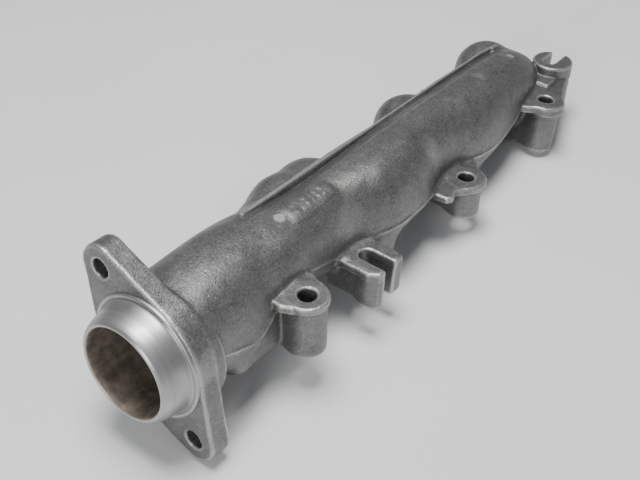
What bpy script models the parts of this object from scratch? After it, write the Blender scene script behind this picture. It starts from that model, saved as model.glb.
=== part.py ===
"""Cast exhaust manifold for one bank of a V8: a log tube over four ports, with a ball-seat outlet.

The design frame has X along the log away from the outlet, Y towards the far bolt row, Z up, and
Z = 0 on the cylinder-head face. Lengths are in millimetres and scaled to metres by the rig empty,
which also stands the bounding box centred on the world origin.
"""

import math

import bmesh
import bpy
import numpy as np
from mathutils import Matrix, Vector

MM = 0.001
GAP = 0.3  # clearance kept between neighbouring solids
SKIN_GAP = 0.5  # the gap with some slack, as two lofts of the log differ between their rings
CLEAR = 2.0  # how far a cutter runs past what it cuts
BELOW_Z = -40.0  # clear of everything under the head face

# Ports and the log
PORT_PITCH = 106.0
PORT_X = [18.0 + PORT_PITCH * k for k in (-1, 0, 1, 2)]
PORT_Y = -72.0
PORT_STRETCH = 8.5
PORT_BORE = 17.5
RUNNER_R = 24.5
CROWN_Y = -61.0
CROWN_Z = [21.5, 31.0, 31.0, 31.0]
CROWN_R = 23.0
CROWN_BORE_Z = 13.3  # floor of the gas space in an elbow
WALL = 5.0
SECTION_X = [-114.0, -53.0, 53.0, 159.0, 250.0]
# x, front y, back y, lowest z, highest z, height of the widest place on the front
LOG_STATIONS = [
    (-128.0, -110.0, -44.5, -10.5, 57.5, 30.0),
    (-116.0, -110.0, -45.0, -8.0, 59.0, 28.0),
    (-104.0, -110.5, -46.0, 1.0, 60.5, 24.0),
    (-88.0, -111.0, -46.0, 4.0, 61.5, 21.0),
    (-72.0, -110.0, -46.0, 6.0, 61.5, 28.0),
    (-57.0, -108.0, -46.5, 9.0, 60.5, 36.0),
    (-43.0, -107.0, -48.5, 11.0, 59.5, 35.0),
    (-28.0, -106.0, -53.0, 11.0, 58.5, 30.0),
    (-12.0, -106.5, -56.0, 6.0, 58.5, 26.5),
    (4.0, -107.0, -57.0, 4.0, 59.0, 26.0),
    (18.0, -110.5, -57.0, 4.0, 60.0, 26.0),
    (34.0, -115.0, -57.0, 6.0, 61.5, 26.0),
    (52.0, -115.5, -57.0, 10.0, 62.5, 26.0),
    (71.0, -114.5, -57.0, 12.0, 63.0, 26.0),
    (86.0, -110.0, -57.0, 10.0, 63.0, 26.0),
    (106.0, -107.0, -57.0, 5.0, 63.0, 26.0),
    (122.0, -109.0, -57.0, 4.0, 63.0, 26.0),
    (136.0, -114.0, -57.0, 4.0, 63.0, 26.0),
    (155.0, -115.0, -57.0, 8.0, 63.0, 26.5),
    (177.0, -113.0, -57.0, 11.0, 62.0, 29.5),
    (195.0, -110.0, -57.0, 9.0, 60.5, 35.0),
    (212.0, -107.5, -57.5, 5.0, 58.5, 36.0),
    (225.0, -104.0, -58.0, 5.0, 56.0, 34.0),
    (240.0, -99.0, -62.0, 10.0, 50.0, 30.0),
    (250.0, -90.0, -70.0, 20.0, 40.0, 30.0),
]
BACK_WAIST_Z = 30.0  # height of the widest place on the back
LOG_POWER = 2.2  # of the superellipse that the log's section follows
LOG_SIDES = 28
LOG_STEP = 10.0
BORE_END_X = 240.0

# Outlet
OUTLET_Y = -77.65
OUTLET_Z = 23.3
FLANGE_X = -134.8
FLANGE_T = 13.2
FLANGE_TILT = math.radians(52.0)
OUTLET_PITCH = math.radians(2.5)  # the outlet axis points up by this much
FLANGE_HALF_PITCH = 50.3
FLANGE_EAR_R = 14.0
FLANGE_MID_R = 37.0
FLANGE_HOLE_R = 5.5
OUTLET_BORE = 26.2
NOSE_LENGTH = 17.6
NOSE_RIM_R = 28.8
NOSE_BASE_R = 34.0
COLLAR_R = 35.0

# Head-bolt bosses
BOLT_ROW_Y = -119.7
BOLT_HOLE_R = 5.25
BOSS_R = 11.8
HIGH_PAD_Z = 36.9
LOW_PAD_Z = 26.0
PAD_T = 5.0
BOSS_X = {"bolt_boss_1": -58.5, "bolt_boss_3": 106.0, "bolt_boss_4": 212.0}
WEB_Y = -98.0  # how far back a boss's web runs, inside the log
SLOT_LUG_X = (-10.5, 15.0)
SLOT_PAD_X = (-14.0, 16.0)
SLOT_LUG_Y = -134.0
END_LUG = (253.5, -102.5)
END_LUG_R = 14.6
END_LUG_Z = 46.0
END_SLOT_R = 4.6
REAR_LUG_X = (-96.0, 42.0, 148.0, 206.0)
REAR_LUG_Y = -32.0
REAR_LUG_R = 10.5
REAR_LUG_Z = 11.0

# Runner feet
PORT_TOP_Z = 22.0
PORT_FLANGE_T = 20.0
PORT_WALL = (-17.0, 24.5, -110.0)  # a foot's near wall: left and right of the port, and its y
PORT_WALL_R = 8.0

# Rib and casting pads on the crown of the log
RIB_Y = -66.0
RIB_W = 4.0
RIB_TOP_Z = 58.5
RIB_X = (-46.0, 232.0)
PAD_Y = (-94.0, -76.0)
PAD_X = {"cast_pad_1": (-34.0, 4.0), "cast_pad_2": (166.0, 214.0)}
PAD_RAISE = 1.5


def clear_scene():
    for obj in list(bpy.data.objects):
        bpy.data.objects.remove(obj, do_unlink=True)


def new_collection(name, parent):
    collection = bpy.data.collections.new(name)
    parent.children.link(collection)
    return collection


def cast_iron():
    """Rough grey sand-cast iron."""
    return principled("cast_iron", (0.19, 0.18, 0.18), 0.62, 0.85)


def machined_iron():
    """Bright turned or milled iron."""
    return principled("machined_iron", (0.55, 0.54, 0.53), 0.32, 1.0)


def principled(name, colour, roughness, metallic):
    material = bpy.data.materials.new(name)
    material.use_nodes = True
    shader = material.node_tree.nodes["Principled BSDF"]
    shader.inputs["Base Color"].default_value = (*colour, 1.0)
    shader.inputs["Roughness"].default_value = roughness
    shader.inputs["Metallic"].default_value = metallic
    return material


class Rig:
    """The collections, the empty that carries every piece, and the material each piece copies."""

    def __init__(self):
        root = bpy.context.scene.collection
        self.parts = new_collection("exhaust_manifold", root)
        self.cutters = new_collection("cutters", root)
        self.empty = bpy.data.objects.new("manifold_rig", None)
        self.parts.objects.link(self.empty)

    def add(self, name, mesh, material):
        obj = bpy.data.objects.new(name, mesh)
        self.parts.objects.link(obj)
        obj.parent = self.empty
        mesh.materials.clear()
        own = material.copy()
        own.name = name
        mesh.materials.append(own)
        return obj

    def cutter(self, name, mesh):
        obj = bpy.data.objects.new(name, mesh)
        self.cutters.objects.link(obj)
        obj.parent = self.empty
        obj.hide_render = True
        obj.display_type = "WIRE"
        return obj


def boolean(obj, other, operation):
    modifier = obj.modifiers.new(f"{operation.lower()}_{other.name}", "BOOLEAN")
    modifier.operation = operation
    modifier.object = other
    modifier.solver = "EXACT"
    return modifier


def cut(obj, *cutters):
    for cutter in cutters:
        boolean(obj, cutter, "DIFFERENCE")


def join(obj, *others):
    for other in others:
        boolean(obj, other, "UNION")


# ---------------------------------------------------------------- shapes


def spline_value(table, column, x):
    """Catmull-Rom value of one column of a station table at x."""
    xs = [row[0] for row in table]
    i = min(max(np.searchsorted(xs, x) - 1, 0), len(xs) - 2)
    t = (x - xs[i]) / (xs[i + 1] - xs[i])
    ys = [row[column] for row in table]
    y0, y1, y2, y3 = ys[max(i - 1, 0)], ys[i], ys[i + 1], ys[min(i + 2, len(ys) - 1)]
    m1, m2 = (y2 - y0) / 2, (y3 - y1) / 2
    a, b = 2 * t**3 - 3 * t**2 + 1, t**3 - 2 * t**2 + t
    return a * y1 + b * m1 + (3 * t**2 - 2 * t**3) * y2 + (t**3 - t**2) * m2


def log_ring(x, inset):
    """One closed ring of the log at x, inset inwards (or outwards when negative)."""
    front, back, low, high, waist = (spline_value(LOG_STATIONS, k, x) for k in (1, 2, 3, 4, 5))
    half_y = (back - front) / 2 - inset
    ring = []
    for k in range(LOG_SIDES):
        angle = 2 * math.pi * k / LOG_SIDES
        centre_z = BACK_WAIST_Z if math.cos(angle) > 0 else waist
        half_z = (high - centre_z if math.sin(angle) > 0 else centre_z - low) - inset
        y = (front + back) / 2 + half_y * signed_power(math.cos(angle), 2 / LOG_POWER)
        ring.append((x, y, centre_z + half_z * signed_power(math.sin(angle), 2 / LOG_POWER)))
    return ring


def signed_power(value, power):
    return math.copysign(abs(value) ** power, value)


def loft(name, rings):
    """A closed solid skinned through rings of equal point count, with flat end caps."""
    bm = bmesh.new()
    rows = [[bm.verts.new(p) for p in ring] for ring in rings]
    count = len(rings[0])
    for low, high in zip(rows, rows[1:]):
        for k in range(count):
            n = (k + 1) % count
            bm.faces.new((low[k], low[n], high[n], high[k]))
    bm.faces.new(reversed(rows[0]))
    bm.faces.new(rows[-1])
    bmesh.ops.recalc_face_normals(bm, faces=bm.faces)
    return finish_mesh(name, bm)


def log_solid(name, x_from, x_to, inset):
    steps = max(1, round((x_to - x_from) / LOG_STEP))
    return loft(name, [log_ring(x, inset) for x in np.linspace(x_from, x_to, steps + 1)])


def finish_mesh(name, bm):
    mesh = bpy.data.meshes.new(name)
    bm.to_mesh(mesh)
    bm.free()
    return mesh


def smooth(mesh, angle=35):
    mesh.shade_smooth()
    mesh.set_sharp_from_angle(angle=math.radians(angle))
    return mesh


def cylinder(name, radius, x, y, z_low, z_high, sides=24):
    bm = bmesh.new()
    place = Matrix.Translation((x, y, (z_low + z_high) / 2))
    bmesh.ops.create_cone(
        bm, cap_ends=True, segments=sides, radius1=radius, radius2=radius,
        depth=z_high - z_low, matrix=place,
    )
    return finish_mesh(name, bm)


def box(name, low, high):
    bm = bmesh.new()
    size = Vector(high) - Vector(low)
    centre = (Vector(high) + Vector(low)) / 2
    place = Matrix.Translation(centre) @ Matrix.Diagonal((*size, 1.0))
    bmesh.ops.create_cube(bm, size=1.0, matrix=place)
    return finish_mesh(name, bm)


def evaluated_mesh(name, obj):
    """The object's evaluated mesh in its world place, welded; the object is removed."""
    bpy.context.view_layer.update()
    graph = bpy.context.evaluated_depsgraph_get()
    mesh = bpy.data.meshes.new_from_object(obj.evaluated_get(graph))
    mesh.transform(obj.matrix_world)
    bm = bmesh.new()
    bm.from_mesh(mesh)
    bmesh.ops.remove_doubles(bm, verts=bm.verts, dist=0.0001)
    bmesh.ops.recalc_face_normals(bm, faces=bm.faces)
    bm.to_mesh(mesh)
    bm.free()
    bpy.data.objects.remove(obj, do_unlink=True)
    mesh.name = name
    return mesh


def plate(name, outline, holes, z_low, z_high):
    """A flat plate from an outline with round holes, as a filled 2D curve given a thickness."""
    curve = bpy.data.curves.new(name, "CURVE")
    curve.dimensions = "2D"
    curve.fill_mode = "BOTH"
    curve.extrude = (z_high - z_low) / 2
    for points in [outline, *holes]:
        spline = curve.splines.new("POLY")
        spline.points.add(len(points) - 1)
        for point, (x, y) in zip(spline.points, points):
            point.co = (x, y, 0.0, 1.0)
        spline.use_cyclic_u = True
    obj = bpy.data.objects.new(name, curve)
    obj.location.z = (z_low + z_high) / 2
    bpy.context.scene.collection.objects.link(obj)
    return evaluated_mesh(name, obj)


def arc(x, y, radius, start, end, count):
    """Points along an arc, angles in degrees."""
    angles = np.radians(np.linspace(start, end, count))
    return [(x + radius * math.cos(a), y + radius * math.sin(a)) for a in angles]


def circle(x, y, radius, count=24):
    return arc(x, y, radius, 0, 360 * (1 - 1 / count), count)


def turned(name, profile, steps=48):
    """A ring turned about Z from a closed profile of (radius, height), outer side first, top down."""
    bm = bmesh.new()
    verts = [bm.verts.new((radius, 0.0, height)) for radius, height in profile]
    for a, b in zip(verts, verts[1:] + verts[:1]):
        bm.edges.new((a, b))
    obj = bpy.data.objects.new(name, finish_mesh(name, bm))
    bpy.context.scene.collection.objects.link(obj)
    screw = obj.modifiers.new("turn", "SCREW")
    screw.steps = screw.render_steps = steps
    screw.use_merge_vertices = True
    screw.merge_threshold = 0.0001
    return evaluated_mesh(name, obj)


def facing_outlet(mesh, x):
    """Stands a mesh made about +Z so that +Z runs along the outlet's axis, out from x."""
    turn = Matrix.Rotation(math.radians(-90), 4, "Y")
    mesh.transform(outlet_place() @ Matrix.Translation((x - FLANGE_X, 0, 0)) @ turn)
    return mesh


def outlet_place():
    """The outlet's frame: at the flange face, -X out along the axis."""
    return Matrix.Translation((FLANGE_X, OUTLET_Y, OUTLET_Z)) @ Matrix.Rotation(OUTLET_PITCH, 4, "Y")


# ---------------------------------------------------------------- outlet


def make_outlet(rig):
    """The ball-seat nose with its sleeve, the two-bolt flange round it and the collar behind."""
    rim = 1.0
    seat = [
        (NOSE_RIM_R, NOSE_LENGTH - rim), (30.9, 12.0), (31.7, 9.0), (32.2, 6.0), (32.9, 2.5),
        (NOSE_BASE_R, 0.0),
    ]
    sleeve = [(NOSE_BASE_R, -FLANGE_T), (OUTLET_BORE, -FLANGE_T), (OUTLET_BORE, NOSE_LENGTH - rim)]
    profile = [(OUTLET_BORE + rim, NOSE_LENGTH), *seat, *sleeve]
    nose = facing_outlet(turned("outlet_ball_seat", profile), FLANGE_X)
    rig.add("outlet_ball_seat", smooth(nose), machined_iron())

    sweep = math.degrees(math.acos((FLANGE_MID_R - FLANGE_EAR_R) / FLANGE_HALF_PITCH))
    outline = [
        *arc(FLANGE_HALF_PITCH, 0, FLANGE_EAR_R, -sweep, sweep, 13),
        *arc(0, 0, FLANGE_MID_R, sweep, 180 - sweep, 9),
        *arc(-FLANGE_HALF_PITCH, 0, FLANGE_EAR_R, 180 - sweep, 180 + sweep, 13),
        *arc(0, 0, FLANGE_MID_R, 180 + sweep, 360 - sweep, 9),
    ]
    holes = [circle(side * FLANGE_HALF_PITCH, 0, FLANGE_HOLE_R) for side in (-1, 1)]
    holes.append(circle(0, 0, NOSE_BASE_R + GAP, 48))
    mesh = plate("outlet_flange", outline, holes, -FLANGE_T, 0.0)
    # The plate's own X is the ears' line, which leans up from +Y; its normal faces -X.
    lean = Matrix.Rotation(FLANGE_TILT, 4, "X")
    stand = Matrix(((0, 0, -1, 0), (1, 0, 0, 0), (0, -1, 0, 0), (0, 0, 0, 1)))
    mesh.transform(outlet_place() @ lean @ stand)
    flange = rig.add("outlet_flange", mesh, cast_iron())
    bevel = flange.modifiers.new("worn_edges", "BEVEL")
    bevel.width = 1.0
    bevel.segments = 1
    bevel.limit_method = "ANGLE"

    back = FLANGE_X + FLANGE_T
    depth = SECTION_X[0] - back + 2 * CLEAR
    ring = [
        (COLLAR_R - 1.5, -GAP), (COLLAR_R, -1.5), (COLLAR_R - 1.0, -depth),
        (OUTLET_BORE, -depth), (OUTLET_BORE, -GAP),
    ]
    collar = facing_outlet(turned("outlet_collar", ring), back)
    collar = rig.add("outlet_collar", smooth(collar), cast_iron())
    behind = box("behind_collar", (SECTION_X[0], -160, -60), (SECTION_X[0] + 40, 0, 100))
    cut(collar, rig.cutter("behind_collar", behind))


# ---------------------------------------------------------------- log and runners


def crown_solid(name, port, inset, z_low):
    """The upright elbow over one port: a round post with a domed top, inset inwards."""
    x, radius = PORT_X[port], CROWN_R - inset
    rings = [circle_ring(x, CROWN_Y, z_low, radius)]
    for k in range(5):
        angle = math.radians(18 * k)
        height = CROWN_Z[port] + radius * math.sin(angle)
        rings.append(circle_ring(x, CROWN_Y, height, radius * math.cos(angle)))
    return loft(name, rings)


def circle_ring(x, y, z, radius, count=22):
    return [(px, py, z) for px, py in circle(x, y, radius, count)]


def port_outline(x, gap=0.0):
    """A foot's outline, grown by a gap: round at the back, squared off to a wall on the near side."""
    left, right, wall_y = PORT_WALL
    corner = PORT_WALL_R + gap
    return [
        *arc(x, PORT_Y + PORT_STRETCH, RUNNER_R + gap, 0, 180, 15),
        (x - RUNNER_R - gap, PORT_Y - PORT_STRETCH),
        *arc(x + left + PORT_WALL_R, wall_y + PORT_WALL_R, corner, 190, 270, 6),
        *arc(x + right - PORT_WALL_R, wall_y + PORT_WALL_R, corner, 270, 360, 7),
    ]


def make_log(rig, cutters):
    """The log in four sections, each a hollow shell with a port below and a window to its elbow."""
    for i in range(len(PORT_X)):
        start = SECTION_X[i] + (GAP / 2 if i else GAP)
        end = SECTION_X[i + 1] - GAP / 2
        name = f"log_section_{i + 1}"
        section = rig.add(name, smooth(log_solid(name, start, end, 0.0)), cast_iron())
        cut(section, cutters[f"port_{i + 1}"], cutters["gas_log"], cutters[f"gas_{i + 1}"])


def make_runners(rig, cutters):
    """The upright elbow on the far side of the log over each port, and the foot on the head face."""
    for i, x in enumerate(PORT_X):
        gas, port = cutters[f"gas_{i + 1}"], cutters[f"port_{i + 1}"]
        name = f"runner_elbow_{i + 1}"
        elbow = rig.add(name, smooth(crown_solid(name, i, 0.0, PORT_FLANGE_T + GAP)), cast_iron())
        cut(elbow, rig.bodies["log_skin"], gas, port)
        name = f"port_flange_{i + 1}"
        foot = plate(name, port_outline(x), [], 0.0, PORT_FLANGE_T)
        foot = rig.add(name, foot, machined_iron())
        cut(foot, port, gas, rig.bodies["log_skin"])
    cut(foot, end_slot(rig))


def gas_passage(rig):
    """Cutters for the gas space: the log's bore, the inside of the elbows and the port bores."""
    cutters = {}
    bore = log_solid("gas_log", SECTION_X[0] - CLEAR, BORE_END_X, WALL)
    cutters["gas_log"] = rig.cutter("gas_log", bore)
    for i, x in enumerate(PORT_X):
        name = f"gas_{i + 1}"
        cutters[name] = rig.cutter(name, crown_solid(name, i, WALL, CROWN_BORE_Z))
        name = f"port_{i + 1}"
        cutters[name] = rig.cutter(name, cylinder(name, PORT_BORE, x, PORT_Y, BELOW_Z, PORT_TOP_Z))
    return cutters


# ---------------------------------------------------------------- bolt bosses


def post_outline(x, y, radius, reach):
    """A round post with a web running back to y = reach."""
    return [*arc(x, y, radius, 180, 360, 17), (x + radius, reach), (x - radius, reach)]


def fit_to_body(rig, boss, port):
    """Trims a boss so that it butts against the log and the foot and elbow of its port."""
    cut(boss, *[rig.bodies[skin] for skin in ("log_skin", f"foot_skin_{port}", f"elbow_skin_{port}")])


def make_skins(rig):
    """Cutters a gap larger than the log and the runner feet."""
    skin = log_solid("log_skin", SECTION_X[0], SECTION_X[-1], -SKIN_GAP)
    rig.bodies = {"log_skin": rig.cutter("log_skin", skin)}
    for i, x in enumerate(PORT_X):
        name = f"foot_skin_{i + 1}"
        foot = plate(name, port_outline(x, GAP), [], -CLEAR, PORT_FLANGE_T + GAP)
        rig.bodies[name] = rig.cutter(name, foot)
        name = f"elbow_skin_{i + 1}"
        rig.bodies[name] = rig.cutter(name, crown_solid(name, i, -GAP, PORT_FLANGE_T))


def make_round_bosses(rig):
    """The three bosses with a round bolt hole, each with a wider pad on top."""
    for name, x in BOSS_X.items():
        top = LOW_PAD_Z if name == "bolt_boss_3" else HIGH_PAD_Z
        post = plate(name, post_outline(x, BOLT_ROW_Y, BOSS_R, WEB_Y), [], 0.0, top - PAD_T)
        boss = rig.add(name, post, cast_iron())
        pad = plate(f"{name}_pad", pad_outline(name, x), [], top - PAD_T - CLEAR, top)
        join(boss, rig.cutter(f"{name}_pad", pad))
        hole = cylinder(f"{name}_hole", BOLT_HOLE_R, x, BOLT_ROW_Y, -CLEAR, top + CLEAR)
        cut(boss, rig.cutter(f"{name}_hole", hole))
        if name == "bolt_boss_4":
            cut(boss, end_lug_space(rig))
        fit_to_body(rig, boss, int(name[-1]))


def pad_outline(name, x):
    """The outline of the pad on one boss; boss 3 and boss 4 reach sideways along the log."""
    y = BOLT_ROW_Y
    if name == "bolt_boss_1":
        rim = arc(x, y, BOSS_R + 1.3, 195, 345, 13)
        return [*rim, (x + 15.5, -112), (x + 17.5, WEB_Y), (x - 16.5, WEB_Y), (x - 16.5, -114)]
    if name == "bolt_boss_3":
        tail = [(x - 29, -113), (x - 28.5, -123), (x - 25, -125.5), (x - 18, -123.5)]
        rim = arc(x, y, BOSS_R + 2.0, 205, 330, 13)
        return [(x - 30, WEB_Y), *tail, *rim, (x + 15, -120), (x + 21, -117), (x + 23, WEB_Y)]
    lug_x, lug_y = END_LUG
    rim = arc(x, y, BOSS_R + 2.2, 200, 315, 11)
    reach = arc(lug_x, lug_y, END_LUG_R, -60, -45, 2)
    return [(x - 19, WEB_Y), (x - 19, -112), *rim, *reach, (lug_x, lug_y)]


def end_lug_space(rig):
    """The room that the end lug takes out of the boss 4 pad."""
    x, y = END_LUG
    name = "end_lug_space"
    return rig.cutter(name, cylinder(name, END_LUG_R + GAP, x, y, -CLEAR, END_LUG_Z + CLEAR, 32))


def slot_lug_outline(left, right):
    """A lug between two sides, with rounded near corners."""
    front = SLOT_LUG_Y
    return [
        (right, WEB_Y), (left, WEB_Y), (left, front + 7), (left + 2, front + 2), (left + 5, front),
        (right - 5, front), (right - 1.5, front + 3), (right, front + 8),
    ]


def bolt_slot(rig):
    """The bolt slot of the second lug, open to the near side."""
    front, r = SLOT_LUG_Y - CLEAR, BOLT_HOLE_R
    outline = [(-r, front), *arc(0.0, BOLT_ROW_Y + 2, r, 180, 0, 11), (r, front)]
    return rig.cutter("bolt_slot", plate("bolt_slot", outline, [], -CLEAR, LOW_PAD_Z + CLEAR))


def end_slot_outline(reach):
    """The end lug's bolt slot, round at its inner end and open towards +X at the given reach."""
    x, y = END_LUG
    return [(reach, y - END_SLOT_R), *arc(x - 2.5, y, END_SLOT_R, 270, 90, 11), (reach, y + END_SLOT_R)]


def end_slot(rig):
    """The room the end slot takes out of the last foot."""
    outline = end_slot_outline(END_LUG[0] + END_LUG_R)
    return rig.cutter("end_slot", plate("end_slot", outline, [], -CLEAR, END_LUG_Z))


def make_slotted_lugs(rig):
    """The two lugs whose bolt slot is open at one side."""
    name = "slotted_lug_2"
    low = LOW_PAD_Z - PAD_T
    lug = rig.add(name, plate(name, slot_lug_outline(*SLOT_LUG_X), [], 0.0, low + CLEAR), cast_iron())
    pad = plate(f"{name}_pad", slot_lug_outline(*SLOT_PAD_X), [], low, LOW_PAD_Z)
    join(lug, rig.cutter(f"{name}_pad", pad))
    cut(lug, bolt_slot(rig))
    fit_to_body(rig, lug, 2)

    x, y = END_LUG
    open_angle = math.degrees(math.asin(END_SLOT_R / END_LUG_R))
    rim = arc(x, y, END_LUG_R, open_angle, 360 - open_angle, 25)
    outline = [*rim, *end_slot_outline(x)[1:-1]]
    lug = rig.add("end_slotted_lug", plate("end_slotted_lug", outline, [], 0.0, END_LUG_Z), cast_iron())
    fit_to_body(rig, lug, 4)


def make_rear_lugs(rig):
    """Low bolt lugs along the far side of the runner feet."""
    for i, x in enumerate(REAR_LUG_X):
        name = f"rear_lug_{i + 1}"
        outline = [
            *arc(x, REAR_LUG_Y, REAR_LUG_R, 0, 180, 17), (x - REAR_LUG_R, -47), (x + REAR_LUG_R, -47)
        ]
        hole = circle(x, REAR_LUG_Y, BOLT_HOLE_R)
        lug = rig.add(name, plate(name, outline, [hole], 0.0, REAR_LUG_Z), cast_iron())
        cut(lug, rig.bodies[f"foot_skin_{i + 1}"], rig.bodies[f"elbow_skin_{i + 1}"])


# ---------------------------------------------------------------- rib and pads


def make_rib_and_pads(rig):
    """The fin along the log's far shoulder and two raised casting pads on its crown."""
    x_from, x_to = RIB_X
    low, high = (x_from, RIB_Y - RIB_W / 2, 40.0), (x_to, RIB_Y + RIB_W / 2, RIB_TOP_Z)
    rib = rig.add("stiffening_rib", box("stiffening_rib", low, high), cast_iron())
    cut(rib, rig.bodies["log_skin"])
    for i, x in enumerate(PORT_X):
        if x - CROWN_R > x_from:
            cut(rib, rig.bodies[f"elbow_skin_{i + 1}"])
    for name, (x_low, x_high) in PAD_X.items():
        shell = log_solid(name, x_low, x_high, -GAP - PAD_RAISE)
        pad = rig.add(name, shell, cast_iron())
        keep = box(f"{name}_window", (x_low - 1, PAD_Y[0], 40), (x_high + 1, PAD_Y[1], 90))
        boolean(pad, rig.cutter(f"{name}_window", keep), "INTERSECT")
        cut(pad, rig.bodies["log_skin"])


def stand_on_origin(rig):
    """Scales the rig to metres and centres the bounding box over the origin, lowest point at Z = 0."""
    rig.empty.scale = (MM, MM, MM)
    bpy.context.view_layer.update()
    graph = bpy.context.evaluated_depsgraph_get()
    corners = []
    for obj in rig.parts.objects:
        if obj.type == "MESH":
            mesh = obj.evaluated_get(graph).to_mesh()
            corners += [obj.matrix_world @ v.co for v in mesh.vertices]
    low = [min(c[k] for c in corners) for k in range(3)]
    high = [max(c[k] for c in corners) for k in range(3)]
    rig.empty.location = (-(low[0] + high[0]) / 2, -(low[1] + high[1]) / 2, -low[2])
    bpy.context.view_layer.update()


def main():
    clear_scene()
    rig = Rig()
    cutters = gas_passage(rig)
    make_outlet(rig)
    make_skins(rig)
    make_log(rig, cutters)
    make_runners(rig, cutters)
    make_round_bosses(rig)
    make_slotted_lugs(rig)
    make_rear_lugs(rig)
    make_rib_and_pads(rig)
    stand_on_origin(rig)


main()
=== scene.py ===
"""Looks of the cast exhaust manifold.

The body is one continuous casting, so it is modelled as one distance field: soft forms joined with
cast fillets, gas passages and bolt holes cut away, a little foundry unevenness. The field becomes a
mesh, and the mesh is divided into the frame's nodes, so neighbouring pieces meet without a seam.

Design frame: millimetres, X = 0 at the slotted lug, Y = 0 behind the far bolt row, Z = 0 on the
head face. It is placed by the frame's own nodes.
"""

import math

import bmesh
import bpy
import numpy as np
from mathutils import Matrix, Vector


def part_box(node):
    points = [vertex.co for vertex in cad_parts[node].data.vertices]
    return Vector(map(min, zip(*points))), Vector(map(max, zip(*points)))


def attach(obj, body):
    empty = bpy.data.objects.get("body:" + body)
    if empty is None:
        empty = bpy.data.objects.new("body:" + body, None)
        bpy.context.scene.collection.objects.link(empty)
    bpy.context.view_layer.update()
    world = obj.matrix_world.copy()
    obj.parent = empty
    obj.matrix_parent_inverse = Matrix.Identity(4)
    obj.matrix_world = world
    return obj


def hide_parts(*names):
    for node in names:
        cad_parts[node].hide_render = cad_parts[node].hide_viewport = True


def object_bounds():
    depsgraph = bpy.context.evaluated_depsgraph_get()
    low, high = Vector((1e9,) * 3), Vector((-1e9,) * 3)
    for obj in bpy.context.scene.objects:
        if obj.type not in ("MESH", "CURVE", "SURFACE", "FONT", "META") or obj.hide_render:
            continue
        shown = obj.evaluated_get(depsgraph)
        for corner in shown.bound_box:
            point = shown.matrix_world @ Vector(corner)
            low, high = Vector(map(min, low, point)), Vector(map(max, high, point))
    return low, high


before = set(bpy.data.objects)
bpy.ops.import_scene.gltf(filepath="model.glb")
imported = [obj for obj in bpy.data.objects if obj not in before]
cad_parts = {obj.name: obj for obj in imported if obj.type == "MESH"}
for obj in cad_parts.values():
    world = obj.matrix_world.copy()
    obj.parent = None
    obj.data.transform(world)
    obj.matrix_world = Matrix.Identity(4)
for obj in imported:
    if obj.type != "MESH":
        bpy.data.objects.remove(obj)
CAD_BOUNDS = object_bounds()

MM = 0.001
STEP = 1.0  # grid spacing of the distance field
FAR = 400.0

# ---------------------------------------------------------------- placing the design frame


def box_mm(node):
    low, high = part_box(node)
    return np.array(low) / MM, np.array(high) / MM


PORT_PITCH = 106.0
PORT_X = [18.0 + PORT_PITCH * k for k in (-1, 0, 1, 2)]
PORT_Y = -72.0
FOOT_R = 24.5
FOOT_STRETCH = 8.5


def design_origin():
    """Where the design frame's origin lies in the frame, read from the second port's foot."""
    low, high = box_mm("port_flange_2")
    far_side = PORT_Y + FOOT_STRETCH + FOOT_R
    return np.array([(low[0] + high[0]) / 2 - PORT_X[1], high[1] - far_side, low[2]])


ORIGIN = design_origin()


def place(points):
    """Design-frame millimetres to scene metres."""
    return (np.asarray(points, dtype=float) + ORIGIN) * MM


# ---------------------------------------------------------------- driving dimensions

PORT_BORE = 17.5
FOOT_T = 8.0
FOOT_TOP = 20.0  # where a port's foot becomes its elbow
CROWN_Y = -61.0
CROWN_Z = [21.5, 31.0, 31.0, 31.0]
CROWN_R = 23.0
WALL = 5.0
SECTION_X = [-114.0, -53.0, 53.0, 159.0, 320.0]
# x, front y, back y, lowest z, highest z, and how high the front is widest, where the mould parted
LOG_STATIONS = np.array([
    (-128.0, -110.0, -44.5, -10.5, 57.5, 30.0),
    (-116.0, -110.0, -45.0, -8.0, 59.0, 28.0),
    (-104.0, -110.5, -46.0, 1.0, 60.5, 24.0),
    (-88.0, -111.0, -46.0, 4.0, 61.5, 21.0),
    (-72.0, -110.0, -46.0, 6.0, 61.5, 28.0),
    (-57.0, -108.0, -46.5, 9.0, 60.5, 36.0),
    (-43.0, -107.0, -48.5, 11.0, 59.5, 35.0),
    (-28.0, -106.0, -53.0, 11.0, 58.5, 30.0),
    (-12.0, -106.5, -56.0, 6.0, 58.5, 26.5),
    (4.0, -107.0, -57.0, 4.0, 59.0, 26.0),
    (18.0, -110.5, -57.0, 4.0, 60.0, 26.0),
    (34.0, -115.0, -57.0, 6.0, 61.5, 26.0),
    (52.0, -115.5, -57.0, 10.0, 62.5, 26.0),
    (71.0, -114.5, -57.0, 12.0, 63.0, 26.0),
    (86.0, -110.0, -57.0, 10.0, 63.0, 26.0),
    (106.0, -107.0, -57.0, 5.0, 63.0, 26.0),
    (122.0, -109.0, -57.0, 4.0, 63.0, 26.0),
    (136.0, -114.0, -57.0, 4.0, 63.0, 26.0),
    (155.0, -115.0, -57.0, 8.0, 63.0, 26.5),
    (177.0, -113.0, -57.0, 11.0, 62.0, 29.5),
    (195.0, -110.0, -57.0, 9.0, 60.5, 35.0),
    (212.0, -107.5, -57.5, 5.0, 58.5, 36.0),
    (225.0, -104.0, -58.0, 5.0, 56.0, 34.0),
    (240.0, -99.0, -62.0, 10.0, 50.0, 30.0),
    (250.0, -90.0, -70.0, 20.0, 40.0, 30.0),
])
BACK_WAIST = 30.0  # height at which the log is widest at the back
LOG_POWER = 2.2  # of the superellipse that the log's section follows
BORE_END_X = 240.0

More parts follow.
